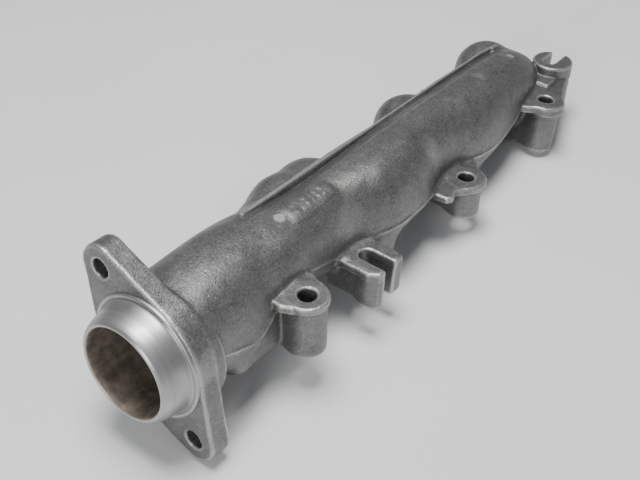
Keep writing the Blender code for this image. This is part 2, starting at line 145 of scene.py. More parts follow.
OUTLET = np.array([-134.8, -77.65, 23.3])
OUTLET_PITCH = math.radians(2.5)
FLANGE_T = 13.2
FLANGE_TILT = math.radians(52.0)
FLANGE_HALF_PITCH = 50.3
FLANGE_EAR_R = 13.4
FLANGE_MID_R = 37.0
FLANGE_HOLE_R = 5.5
OUTLET_BORE = 26.2
NOSE_LENGTH = 17.5
NOSE_RIM_R = 28.8
NOSE_BASE_R = 34.0

BOLT_ROW_Y = -119.7
BOLT_HOLE_R = 5.25
BOSS_R = 11.4
HIGH_PAD_Z = 36.9
LOW_PAD_Z = 26.0
PAD_T = 5.0
END_LUG = (253.5, -102.5)
END_LUG_R = 14.6
END_LUG_Z = 46.0
REAR_LUG_X = (-96.0, 42.0, 148.0, 206.0)
REAR_LUG_Y = -32.0
REAR_LUG_R = 10.5
REAR_LUG_Z = 11.0

DIPS = ((-68.0, 2.0), (2.0, 2.6), (86.0, 2.6))  # x and depth of the valleys down the near shoulder
RIB_Y = -66.0
RIB_TOP_Z = 59.0
RIB_X = (-50.0, 232.0)
PAD_Y = (-94.0, -76.0)
PAD_X = {"cast_pad_1": (-34.0, 4.0), "cast_pad_2": (166.0, 214.0)}
PAD_RAISE = 0.8
GROUND_SPOTS = ((-39.0, -84.0, 4.5), (217.0, -85.0, 3.5))  # x, y and radius of two ground-off risers


# ---------------------------------------------------------------- distance fields


def smooth_min(a, b, k):
    if k <= 0:
        return np.minimum(a, b)
    h = np.maximum(k - np.abs(a - b), 0.0) / k
    return np.minimum(a, b) - h * h * (k / 4)


def smooth_max(a, b, k):
    return -smooth_min(-a, -b, k)


class Field:
    """A signed distance on a regular grid: negative in the iron."""

    def __init__(self, low, high, step):
        self.low, self.step = np.array(low, dtype=float), step
        self.axes = [np.arange(l, h + step, step, dtype=np.float32) for l, h in zip(low, high)]
        self.value = np.full([len(axis) for axis in self.axes], 60.0, dtype=np.float32)

    def window(self, low, high):
        slices = tuple(
            slice(max(0, np.searchsorted(axis, l)), max(1, np.searchsorted(axis, h)))
            for axis, l, h in zip(self.axes, low, high)
        )
        x, y, z = (axis[s] for axis, s in zip(self.axes, slices))
        return slices, (x[:, None, None], y[None, :, None], z[None, None, :])

    def add(self, shape, low, high, k):
        slices, grid = self.window(np.array(low) - 3 - k, np.array(high) + 3 + k)
        self.value[slices] = smooth_min(self.value[slices], shape(*grid), k)

    def cut(self, shape, low, high, k):
        slices, grid = self.window(np.array(low) - 3 - k, np.array(high) + 3 + k)
        self.value[slices] = smooth_max(self.value[slices], -shape(*grid), k)

    def sample(self, points):
        """Trilinear value at points."""
        at = (points - self.low) / self.step
        top = np.array(self.value.shape) - 1.001
        at = np.clip(at, 0, top)
        i = at.astype(int)
        f = at - i
        total = np.zeros(len(points))
        for dx in (0, 1):
            for dy in (0, 1):
                for dz in (0, 1):
                    weight = (
                        (f[:, 0] if dx else 1 - f[:, 0])
                        * (f[:, 1] if dy else 1 - f[:, 1])
                        * (f[:, 2] if dz else 1 - f[:, 2])
                    )
                    total += weight * self.value[i[:, 0] + dx, i[:, 1] + dy, i[:, 2] + dz]
        return total

    def gradient(self, points, reach):
        out = np.zeros((len(points), 3))
        for axis in range(3):
            step = np.zeros(3)
            step[axis] = reach
            out[:, axis] = self.sample(points + step) - self.sample(points - step)
        return out / np.maximum(np.linalg.norm(out, axis=1, keepdims=True), 1e-9)

    def curvature(self, points, reach):
        """Laplacian of the distance: positive on convex edges, negative in hollows."""
        total = -6 * self.sample(points)
        for axis in range(3):
            step = np.zeros(3)
            step[axis] = reach
            total += self.sample(points + step) + self.sample(points - step)
        return total / reach**2


def extrude(flat, z, z_low, z_high, edge):
    """A flat outline's distance made into a plate with rounded edges."""
    return smooth_max(flat, np.maximum(z_low - z, z - z_high), edge)


def post(cx, cy, radius, z_low, z_high, edge=1.5):
    return lambda x, y, z: extrude(np.hypot(x - cx, y - cy) - radius, z, z_low, z_high, edge)


def block(low, high, edge):
    (x0, y0, z0), (x1, y1, z1) = low, high

    def shape(x, y, z):
        across = smooth_max(np.maximum(x0 - x, x - x1), np.maximum(y0 - y, y - y1), edge)
        return smooth_max(across, np.maximum(z0 - z, z - z1), edge)

    return shape


def capsule(a, b, ra, rb):
    """A tapered rod with round ends."""
    a, b = np.array(a, dtype=float), np.array(b, dtype=float)
    along = b - a
    length2 = float(along @ along)

    def shape(x, y, z):
        t = ((x - a[0]) * along[0] + (y - a[1]) * along[1] + (z - a[2]) * along[2]) / length2
        t = np.clip(t, 0, 1)
        dx, dy, dz = x - a[0] - t * along[0], y - a[1] - t * along[1], z - a[2] - t * along[2]
        return np.sqrt(dx * dx + dy * dy + dz * dz) - (ra + (rb - ra) * t)

    return shape


def oblong(cx, cy, radius, stretch):
    """Flat distance to a rounded oblong, stretched along Y."""
    return lambda x, y: np.hypot(x - cx, np.maximum(np.abs(y - cy) - stretch, 0)) - radius


def station_values(column, x):
    """Catmull-Rom through the log's stations, for an array of x."""
    xs, ys = LOG_STATIONS[:, 0], LOG_STATIONS[:, column]
    i = np.clip(np.searchsorted(xs, x) - 1, 0, len(xs) - 2)
    t = np.clip((x - xs[i]) / (xs[i + 1] - xs[i]), 0, 1)
    y0, y1, y2 = ys[np.maximum(i - 1, 0)], ys[i], ys[i + 1]
    y3 = ys[np.minimum(i + 2, len(ys) - 1)]
    m1, m2 = (y2 - y0) / 2, (y3 - y1) / 2
    a, b = 2 * t**3 - 3 * t**2 + 1, t**3 - 2 * t**2 + t
    return a * y1 + b * m1 + (3 * t**2 - 2 * t**3) * y2 + (t**3 - t**2) * m2


def log_shape(x_from, x_to, inset, edge):
    """The log's skin, inset inwards."""

    def shape(x, y, z):
        front, back, low, high, waist = (
            station_values(k, x).astype(np.float32) for k in (1, 2, 3, 4, 5)
        )
        mid_y = (front + back) / 2
        mid_z = np.where(y < mid_y, waist, BACK_WAIST)
        half_y = np.maximum((back - front) / 2 - inset, 1.0)
        half_z = np.maximum(np.where(z > mid_z, high - mid_z, mid_z - low) - inset, 1.0)
        dy, dz = np.abs(y - mid_y), np.abs(z - mid_z)
        ratio = ((dy / half_y) ** LOG_POWER + (dz / half_z) ** LOG_POWER) ** (1 / LOG_POWER)
        reach = np.hypot(dy, dz)
        skin = reach * (1 - 1 / np.maximum(ratio, 0.05))
        return smooth_max(skin, np.maximum(x_from - x, x - x_to), edge)

    return shape


def outlet_local(x, y, z):
    """Coordinates in the outlet's own frame: w outwards, u along the ears, v across."""
    dx, dy, dz = x - OUTLET[0], y - OUTLET[1], z - OUTLET[2]
    c, s = math.cos(OUTLET_PITCH), math.sin(OUTLET_PITCH)
    w, up = -dx * c + dz * s, dx * s + dz * c
    ct, st = math.cos(FLANGE_TILT), math.sin(FLANGE_TILT)
    return w, dy * ct + up * st, -dy * st + up * ct


def ear_outline(u, v):
    """Flat distance to the flange's outline: a round middle drawn out to two round ears."""
    u, v = np.abs(u), np.abs(v)
    lean = (FLANGE_MID_R - FLANGE_EAR_R) / FLANGE_HALF_PITCH
    rise = math.sqrt(1 - lean * lean)
    side = u * lean + v * rise - FLANGE_MID_R
    middle = np.hypot(u, v) - FLANGE_MID_R
    ear = np.hypot(u - FLANGE_HALF_PITCH, v) - FLANGE_EAR_R
    along = u * rise - v * lean
    reach = FLANGE_HALF_PITCH * rise
    return np.where(along < 0, middle, np.where(along > reach, ear, side))


def flange_shape(x, y, z):
    w, u, v = outlet_local(x, y, z)
    return smooth_max(ear_outline(u, v), np.maximum(w, -FLANGE_T - w), 1.6)


def outlet_bore(x, y, z):
    w, u, v = outlet_local(x, y, z)
    return np.maximum(np.hypot(u, v) - OUTLET_BORE, -w - 26.0)


# ---------------------------------------------------------------- the casting


def add_body(field):
    """The log, its elbows and feet, all in soft cast forms."""
    x_low, x_high = LOG_STATIONS[0, 0], LOG_STATIONS[-1, 0] + 2
    field.add(log_shape(x_low, x_high, 0.0, 3.0), (x_low, -125, -14), (x_high, -38, 68), 0)
    for x, top in zip(PORT_X, CROWN_Z):
        crown = capsule((x, CROWN_Y, 8), (x, CROWN_Y, top), CROWN_R, CROWN_R)
        field.add(crown, (x - 26, -90, -4), (x + 26, -34, 60), 6)
        wall = block((x - 17, -110.5, 0), (x + 24, -72, 23), 8.0)
        field.add(wall, (x - 17, -111, 0), (x + 24, -72, 24), 5)
        foot = oblong(x, PORT_Y, FOOT_R, FOOT_STRETCH)
        shape = lambda px, py, pz, foot=foot: extrude(foot(px, py), pz, 0, FOOT_T, 2.0)
        field.add(shape, (x - 26, -108, 0), (x + 26, -36, 9), 5)
    for start, end, r0, r1 in (
        ((18, CROWN_Y, 31), (-4, -60, 31), 22.8, 22.8), ((-4, -60, 31), (-50, -70, 29), 22.8, 21.5)
    ):
        field.add(capsule(start, end, r0, r1), (-74, -92, 2), (42, -34, 58), 5)


def add_dips(field):
    """Soft valleys down the log's near shoulder, between the swells over its ports."""
    x, y, z = field.window((-FAR,) * 3, (FAR,) * 3)[1]
    shoulder = np.exp(-((y + 103) ** 2 + (z - 49) ** 2) / 19**2)
    for middle, depth in DIPS:
        field.value += (depth * shoulder * np.exp(-(((x - middle) / 15) ** 2))).astype(np.float32)


def add_outlet(field):
    field.add(flange_shape, (-160, -150, -40), (-115, 0, 90), 3)

    def collar(x, y, z):
        w, u, v = outlet_local(x, y, z)
        return smooth_max(np.hypot(u, v) - 36.4, np.maximum(w + 4, -20 - w), 1.2)

    field.add(collar, (-140, -120, -20), (-110, -38, 66), 1)


def flat_pad(outline, z_low, z_high, edge):
    """A plate with straight sides between the outline's corners, given anticlockwise."""
    corners = np.array(outline, dtype=float)
    sides = list(zip(corners, np.roll(corners, -1, axis=0)))

    def shape(x, y, z):
        inside, near = None, None
        for a, b in sides:
            along = b - a
            length2 = along @ along
            t = np.clip(((x - a[0]) * along[0] + (y - a[1]) * along[1]) / length2, 0, 1)
            gap = np.hypot(x - a[0] - t * along[0], y - a[1] - t * along[1])
            near = gap if near is None else np.minimum(near, gap)
            crosses = ((a[1] > y) != (b[1] > y)) & (
                x < (b[0] - a[0]) * (y - a[1]) / ((b[1] - a[1]) or 1e-9) + a[0]
            )
            inside = crosses if inside is None else inside ^ crosses
        return extrude(np.where(inside, -near, near), z, z_low, z_high, edge)

    return shape


def add_bosses(field):
    """Bolt posts with pads, the slotted lugs and the low far-side lugs."""
    posts = (-58.5, HIGH_PAD_Z, 11.6), (106.0, LOW_PAD_Z, 11.2), (211.6, HIGH_PAD_Z, 10.8)
    for x, top, radius in posts:
        web = block((x - 7, BOLT_ROW_Y, 0), (x + 7, -96, top - 3), 2.0)
        field.add(web, (x - 8, -121, 0), (x + 8, -96, top), 6)
        field.add(post(x, BOLT_ROW_Y, radius, 0, top - 1), (x - 13, -132, 0), (x + 13, -106, top), 4)
    add_pad_one(field)
    add_pad_three(field)
    add_pad_four(field)
    add_slotted_lug(field)
    add_end_lug(field)
    for x in REAR_LUG_X:
        lug = post(x, REAR_LUG_Y, REAR_LUG_R, 0, REAR_LUG_Z)
        field.add(lug, (x - 12, -44, 0), (x + 12, -20, 12), 3)
        web = block((x - REAR_LUG_R + 1, -52, 0), (x + REAR_LUG_R - 1, REAR_LUG_Y, REAR_LUG_Z), 1.5)
        field.add(web, (x - 12, -52, 0), (x + 12, -30, 12), 3)


def add_pad_one(field):
    """The pad on boss 1, wider than its post towards the log."""
    low, high = HIGH_PAD_Z - PAD_T, HIGH_PAD_Z
    field.add(post(-58.5, BOLT_ROW_Y, BOSS_R + 1.3, low, high), (-73, -134, 30), (-44, -105, 38), 1.2)
    outline = [(-75, -114), (-72, -121), (-46, -121), (-43, -112), (-41, -100), (-74, -100)]
    field.add(flat_pad(outline, low, high, 1.2), (-76, -122, 30), (-40, -100, 38), 1.2)


def add_pad_three(field):
    """The thin pad on boss 3, which runs sideways along the log."""
    low, high = LOW_PAD_Z - PAD_T, LOW_PAD_Z
    field.add(post(106, BOLT_ROW_Y, BOSS_R + 2.0, low, high), (92, -135, 20), (121, -105, 27), 1.2)
    outline = [
        (77, -113), (77.5, -123), (81, -125.5), (88, -123.5), (94, -127), (106, -132), (113, -131),
        (119, -125), (121, -120), (127, -117), (129, -100), (76, -100),
    ]
    field.add(flat_pad(outline, low, high, 1.2), (75, -133, 20), (130, -100, 27), 1.2)


def add_pad_four(field):
    """The pad on boss 4 and its bridge to the end lug."""
    low, high = HIGH_PAD_Z - 7.0, HIGH_PAD_Z
    field.add(post(212, BOLT_ROW_Y, BOSS_R + 2.2, low, high), (197, -135, 28), (227, -104, 38), 1.2)
    bridge = capsule((213, -119.2, high - 8), (END_LUG[0], END_LUG[1], high - 8), 13.4, 14.4)
    shape = lambda x, y, z: smooth_max(bridge(x, y, z), np.maximum(high - 9 - z, z - high), 1.2)
    field.add(shape, (198, -134, 26), (270, -86, 38), 1.5)
    outline = [(193, -112), (201, -124), (214, -124), (240, -100), (194, -100)]
    field.add(flat_pad(outline, low + 2, high, 1.2), (192, -125, 29), (241, -99, 38), 1.5)
    step = block((228, -113, high - 2), (243, -98, high + 2.2), 1.0)
    field.add(step, (227, -114, high - 2), (244, -97, high + 3), 1.5)


def add_slotted_lug(field):
    body = block((-10.5, -133.4, 0), (14.4, -96, LOW_PAD_Z), 2.2)
    field.add(body, (-16, -135, 0), (16, -96, 27), 4)
    lobe = post(-5.6, -125.6, 8.2, 0, LOW_PAD_Z - 1)
    field.add(lobe, (-14, -134, 0), (3, -117, 26), 3)
    outline = [
        (-14, -110), (-13.8, -127.5), (-9.5, -133.6), (-4, -134), (8, -133), (13.8, -128.5), (15.2, -110),
        (16.5, -100), (-15, -100),
    ]
    field.add(flat_pad(outline, LOW_PAD_Z - PAD_T, LOW_PAD_Z, 1.2), (-16, -136, 20), (17, -100, 27), 2)
    flare = block((12, -113, 0), (38, -98, 22), 5.0)
    field.add(flare, (12, -114, 0), (38, -98, 23), 5)


def add_end_lug(field):
    x, y = END_LUG
    field.add(post(x, y, END_LUG_R - 2.5, 0, HIGH_PAD_Z), (x - 14, y - 14, 0), (x + 14, y + 14, 38), 3)
    field.add(
        post(x, y, END_LUG_R, HIGH_PAD_Z - 3, END_LUG_Z, 1.2), (x - 15, y - 15, 33), (x + 15, y + 15, 47), 1.2
    )


def add_rib(field):
    """The fin on the log's far shoulder, with a shallow channel cut in front of it."""
    x0, x1 = RIB_X
    skin = log_shape(-FAR, FAR, 0.0, 0.0)

    def fin(x, y, z):
        line = RIB_Y - 1.2 * np.clip((x - 20) / 60, 0, 1)
        fall = 4.0 * np.clip((x - 196) / 36, 0, 1) ** 2
        return extrude(np.abs(y - line) - 1.9, z, 44, RIB_TOP_Z - fall, 1.5)

    keep = lambda x, y, z: np.maximum(fin(x, y, z), np.maximum(x0 - x, x - x1))
    field.add(keep, (x0, RIB_Y - 4, 44), (x1, RIB_Y + 3, 60), 2.0)

    def channel(x, y, z):
        front = -72.5 - 4.5 * np.clip((x + 40) / 110, 0, 1)
        deep = -1.2 * np.clip((x + 62) / 20, 0, 1) * np.clip((216 - x) / 40, 0, 1)
        across = np.maximum(front - y, y + 67.5)
        return smooth_max(across, deep - skin(x, y, z), 1.0)

    field.cut(channel, (-60, -79, 44), (216, -66, 66), 1.2)


def add_pads(field):
    """Two low raised pads on the log's crown, with plain pips where a foundry would cast a code."""
    skin = log_shape(-FAR, FAR, 0.0, 0.0)
    rng = np.random.default_rng(3)
    for x0, x1 in PAD_X.values():
        window = block((x0, PAD_Y[0], 44), (x1, PAD_Y[1], 80), 6.0)
        shape = lambda x, y, z: smooth_max(skin(x, y, z) - PAD_RAISE, window(x, y, z), 5.0)
        field.add(shape, (x0, PAD_Y[0], 44), (x1, PAD_Y[1], 66), 3.0)
        for i in range(6):
            for j in range(2):
                cx = x0 + 8 + (x1 - x0 - 16) * i / 5 + rng.uniform(-0.9, 0.9)
                cy = -87.5 + 5.0 * j + rng.uniform(-0.8, 0.8)
                size = rng.uniform(0.9, 1.9)

                def pip(x, y, z, cx=cx, cy=cy, size=size):
                    across = np.hypot(x - cx, y - cy) - size
                    return smooth_max(across, skin(x, y, z) - PAD_RAISE - 0.6, 0.8)

                field.add(pip, (cx - 3, cy - 4, 44), (cx + 3, cy + 4, 67), 0.8)


def add_flash(field):
    """The thin line of flash where the two halves of the mould met, on the near side."""

    def line(x, y, z):
        front, height = station_values(1, x), station_values(5, x)
        size = 1.0 + 0.35 * np.sin(x / 9.0) * np.sin(x / 4.1 + 1.0)
        return np.maximum(np.hypot(y - front, z - height) - size, x - 226)

    field.add(line, (-120, -119, 18), (228, -97, 38), 1.2)


def cut_passages(field):
    """Cuts the gas space; returns its shapes."""
    x_low = LOG_STATIONS[0, 0]
    gas = log_shape(x_low - 2, BORE_END_X, WALL, 3.0)
    field.cut(gas, (-130, -125, -14), (BORE_END_X, -38, 68), 2)
    field.cut(outlet_bore, (-160, -110, -12), (-108, -45, 60), 1)
    passages = [gas, outlet_bore]

    def seat(x, y, z):
        w, u, v = outlet_local(x, y, z)
        return np.maximum(np.hypot(u, v) - NOSE_BASE_R, -FLANGE_T - w)

    field.cut(seat, (-140, -120, -20), (-112, -38, 66), 0)
    for x, top in zip(PORT_X, CROWN_Z):
        inner = CROWN_R - WALL
        crown = capsule((x, CROWN_Y, 8 + inner), (x, CROWN_Y, max(top, 8 + inner + 1)), inner, inner)
        field.cut(crown, (x - 22, -84, 8), (x + 22, -38, 54), 3)
        port = post(x, PORT_Y, PORT_BORE, -20, 22, 0)
        field.cut(port, (x - 18, -90, -6), (x + 18, -54, 24), 1)
        passages += [crown, port]
    return passages


def cut_holes(field):
    """Bolt holes and slots, and everything below the milled head face."""
    for x, top in ((-58.5, HIGH_PAD_Z), (106.0, LOW_PAD_Z), (212.0, HIGH_PAD_Z)):
        hole = post(x, BOLT_ROW_Y, BOLT_HOLE_R, -9, top + 9, 0)
        field.cut(hole, (x - 6, -126, -5), (x + 6, -113, top + 4), 0.8)
    for x in REAR_LUG_X:
        hole = post(x, REAR_LUG_Y, BOLT_HOLE_R, -9, REAR_LUG_Z + 9, 0)
        field.cut(hole, (x - 6, -39, -5), (x + 6, -26, 15), 0.8)

    def slot_two(x, y, z):
        return np.hypot(x, np.maximum(y - BOLT_ROW_Y - 2.0, 0)) - BOLT_HOLE_R

    field.cut(slot_two, (-6, -140, -5), (6, -110, 30), 0.8)
    ex, ey = END_LUG[0] - 2.5, END_LUG[1] + 1.5

    def slot_end(x, y, z):
        return np.hypot(np.minimum(x - ex, 0), y - ey) - 4.6

    field.cut(slot_end, (ex - 6, ey - 6, -5), (275, ey + 6, 50), 0.6)
    for side in (-1, 1):

        def hole(x, y, z, side=side):
            _, u, v = outlet_local(x, y, z)
            return np.hypot(u - side * FLANGE_HALF_PITCH, v) - FLANGE_HOLE_R

        field.cut(hole, (-150, -150, -45), (-110, 0, 95), 0.8)
    below = lambda x, y, z: z
    field.cut(below, (-118, -150, -16), (300, 0, 0), 0.8)


def roughen(field):
    """Foundry unevenness: a few soft waves, well under a millimetre."""
    x, y, z = field.window((-FAR,) * 3, (FAR,) * 3)[1]
    rng = np.random.default_rng(7)
    for size, height in ((23.0, 0.16), (11.0, 0.10), (5.0, 0.06)):
        for _ in range(3):
            turn = rng.normal(size=(3, 3))
            turn /= np.linalg.norm(turn, axis=1, keepdims=True)
            phase = rng.uniform(0, 2 * math.pi, 3)
            wave = 1.0
            for row, shift in zip(turn, phase):
                wave = wave * np.sin((row[0] * x + row[1] * y + row[2] * z) / size * 2 + shift)
            field.value += (height * wave).astype(np.float32)


def build_casting():
    low = np.array(CAD_BOUNDS[0]) / MM - ORIGIN - 3
    high = np.array(CAD_BOUNDS[1]) / MM - ORIGIN + 3
    field = Field(low, high, STEP)
    add_body(field)
    add_dips(field)
    add_rib(field)
    add_pads(field)
    add_flash(field)
    add_outlet(field)
    add_bosses(field)
    roughen(field)
    passages = cut_passages(field)
    cut_holes(field)
    return field, passages


# ---------------------------------------------------------------- one surface, divided into nodes


def slab(x=(-FAR, FAR), y=(-FAR, FAR), z=(-FAR, FAR)):
    """Distance to a box of the design frame, for choosing which node a point belongs to."""

    def inside(px, py, pz):
        out = np.maximum(x[0] - px, px - x[1])
        out = np.maximum(out, np.maximum(y[0] - py, py - y[1]))
        return np.maximum(out, np.maximum(z[0] - pz, pz - z[1]))

    return inside


def outside(shape, depth):
    """The part of space further than depth outside a shape."""
    return lambda x, y, z: depth - shape(x, y, z)


def both(*shapes):
    return lambda x, y, z: np.max([shape(x, y, z) for shape in shapes], axis=0)


def regions():
    """(node, region) pairs; a later region overrides an earlier one."""
    skin = log_shape(-FAR, FAR, 0.0, 0.0)
    off_skin = outside(skin, -0.6)
    found = []
    for i in range(4):
        found.append((f"log_section_{i + 1}", slab(x=(SECTION_X[i], SECTION_X[i + 1]))))
    found.append(("outlet_collar", slab(x=(-FAR, SECTION_X[0]))))
    found.append(("outlet_flange", lambda x, y, z: -FLANGE_T - outlet_local(x, y, z)[0]))
    for i, x in enumerate(PORT_X):
        near = x - (60 if i == 1 else 27)
        elbow = slab(x=(near, x + 27), y=(-57 if i else -44, FAR), z=(FOOT_TOP, FAR))
        found.append((f"runner_elbow_{i + 1}", elbow))
    for i, x in enumerate(PORT_X):
        foot = both(slab(x=(x - 27, x + 27), y=(-113, -38), z=(-FAR, FOOT_TOP)), off_skin)
        found.append((f"port_flange_{i + 1}", foot))
    for i, x in enumerate(REAR_LUG_X):
        outline = oblong(PORT_X[i], PORT_Y, FOOT_R, FOOT_STRETCH)
        lug = both(slab((x - 14, x + 14), (-50, FAR), (-FAR, 13)), lambda a, b, c, o=outline: -o(a, b))
        found.append((f"rear_lug_{i + 1}", lug))
    found.append(("bolt_boss_1", both(slab((-75, -42), (-FAR, -98), (-FAR, 38)), off_skin)))
    found.append(("slotted_lug_2", both(slab((-17, 15), (-FAR, -94), (-FAR, 28)), off_skin)))
    found.append(("bolt_boss_3", both(slab((76, 123), (-FAR, -98), (-FAR, 28)), off_skin)))
    found.append(("bolt_boss_4", both(slab((194, FAR), (-FAR, -84), (-FAR, 38)), off_skin)))
    ex, ey = END_LUG
    end = both(lambda x, y, z: np.hypot(x - ex, y - ey) - END_LUG_R - 0.5, off_skin)
    found.append(("end_slotted_lug", end))
    rib = both(slab((RIB_X[0], RIB_X[1]), (RIB_Y - 4, RIB_Y + 4), (50, FAR)), off_skin)
    found.append(("stiffening_rib", rib))
    for node, (x0, x1) in PAD_X.items():
        found.append((node, both(slab((x0, x1), PAD_Y, (45, FAR)), off_skin)))
    return found


def label_grid(field, places):
    """Which node each solid sample belongs to; 0 outside."""
    label = np.zeros(field.value.shape, dtype=np.int8)
    cells = np.argwhere(field.value < 0)
    points = field.low + cells * field.step
    own = np.zeros(len(cells), dtype=np.int8)
    for k, (_, region) in enumerate(places):
        own[region(*points.T) < 0] = k + 1
    label[tuple(cells.T)] = own
    return label


def divided_nets(field, label, places):
    """Surface nets between every pair of labels, with one vertex in each mixed cell.

    Neighbouring nodes share the vertices where they meet, so no seam shows on the casting.
    """
    shape = np.array(label.shape) - 1
    total = [np.zeros((*shape, 3), dtype=np.float32) for _ in range(2)]
    hits = [np.zeros(shape, dtype=np.int16) for _ in range(2)]
    faces = []
    for axis in range(3):
        p, q = [(1, 2), (2, 0), (0, 1)][axis]
        lower, upper = [slice(None)] * 3, [slice(None)] * 3
        lower[axis], upper[axis] = slice(0, -1), slice(1, None)
        edge = np.argwhere(label[tuple(lower)] != label[tuple(upper)])
        step = np.zeros(3, dtype=int)
        step[axis] = 1
        a, b = label[tuple(edge.T)], label[tuple((edge + step).T)]
        va, vb = field.value[tuple(edge.T)], field.value[tuple((edge + step).T)]
        wall = (a > 0) & (b > 0)
        top = np.maximum(a, b)
        for k in np.unique(top[wall]):
            rows = wall & (top == k)
            region = places[k - 1][1]
            va[rows] = region(*(field.low + edge[rows] * field.step).T)
            vb[rows] = region(*(field.low + (edge[rows] + step) * field.step).T)
        share = np.clip(va / np.where(va == vb, 1, va - vb), 0, 1)
        spot = edge + share[:, None] * step
        ring = []
        for sp, sq in ((-1, -1), (0, -1), (0, 0), (-1, 0)):
            cell = edge.copy()
            cell[:, p] += sp
            cell[:, q] += sq
            ring.append(cell)
            for kind, rows in ((0, ~wall), (1, wall)):
                at = tuple(cell[rows].T)
                np.add.at(hits[kind], at, 1)
                np.add.at(total[kind], at, spot[rows])
        corners = np.stack([np.ravel_multi_index(cell.T, shape) for cell in ring], axis=1)
        faces.append((corners, a, b))

    skin = hits[0] > 0
    used = skin | (hits[1] > 0)
    index = np.full(used.size, -1)
    index[used.ravel()] = np.arange(used.sum())
    points = np.where(skin[..., None], total[0], total[1])[used]
    count = np.where(skin, hits[0], hits[1])[used]
    points = field.low + points / count[:, None] * field.step
    quads = np.concatenate([index[corners] for corners, _, _ in faces])
    front = np.concatenate([a for _, a, _ in faces])
    back = np.concatenate([b for _, _, b in faces])
    return points, quads, front, back


def piece_mesh(name, points, quads, normals, outer, layers):
    """A mesh with its own normals on the outer faces and point attributes for its material."""
    used, local = np.unique(quads, return_inverse=True)
    local = local.reshape(quads.shape)
    mesh = bpy.data.meshes.new(name)
    mesh.vertices.add(len(used))
    mesh.vertices.foreach_set("co", place(points[used]).ravel())
    mesh.loops.add(local.size)
    mesh.loops.foreach_set("vertex_index", local.ravel())
    mesh.polygons.add(len(local))
    mesh.polygons.foreach_set("loop_start", np.arange(0, local.size, 4))
    mesh.update(calc_edges=True)
    mesh.shade_smooth()
    flat = np.cross(points[quads[:, 2]] - points[quads[:, 0]], points[quads[:, 3]] - points[quads[:, 1]])
    flat /= np.maximum(np.linalg.norm(flat, axis=1, keepdims=True), 1e-9)
    corner = np.where(outer[:, None, None], normals[quads], flat[:, None, :])
    mesh.normals_split_custom_set(corner.reshape(-1, 3).tolist())
    for key, values in layers.items():
        attribute = mesh.attributes.new(key, "FLOAT", "POINT")
        attribute.data.foreach_set("value", values[used].astype(np.float32))
    return mesh


def show(name, mesh, material, node):
    obj = bpy.data.objects.new(name, mesh)
    bpy.context.scene.collection.objects.link(obj)
    mesh.materials.append(material)
    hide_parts(node)
    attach(obj, "root")
    return obj


def ground_spots(points):
    """How far each point lies within a ground spot on the log's crown, 0 to 1."""
    depth = [1.3 - np.hypot(points[:, 0] - x, points[:, 1] - y) / radius for x, y, radius in GROUND_SPOTS]
    return np.clip(np.max(depth, axis=0), 0, 1) * (points[:, 2] > 45)


def make_casting(material):
    field, passages = build_casting()
    places = regions()
    label = label_grid(field, places)
    points, quads, front, back = divided_nets(field, label, places)
    box_low, box_high = (np.array(corner) / MM - ORIGIN for corner in CAD_BOUNDS)
    points = np.clip(points, box_low + 0.02, box_high - 0.02)
    normals = field.gradient(points, 0.8)
    layers = {
        "bend": field.curvature(points, 2.2),
        "inner": np.clip(1.2 - np.min([gas(*points.T) for gas in passages], axis=0), 0, 1),
        "milled": np.clip((0.7 - points[:, 2]) * 2, 0, 1) * (points[:, 0] > -117),
        "ground": ground_spots(points),
    }
    for k, (node, _) in enumerate(places):
        ahead, behind = front == k + 1, back == k + 1
        own = np.concatenate([quads[ahead], quads[behind][:, ::-1]])
        outer = np.concatenate([back[ahead] == 0, front[behind] == 0])
        mesh = piece_mesh(f"cast_{node}", points, own, normals, outer, layers)
        show(f"cast_{node}", mesh, material, node)


# ---------------------------------------------------------------- the turned nose


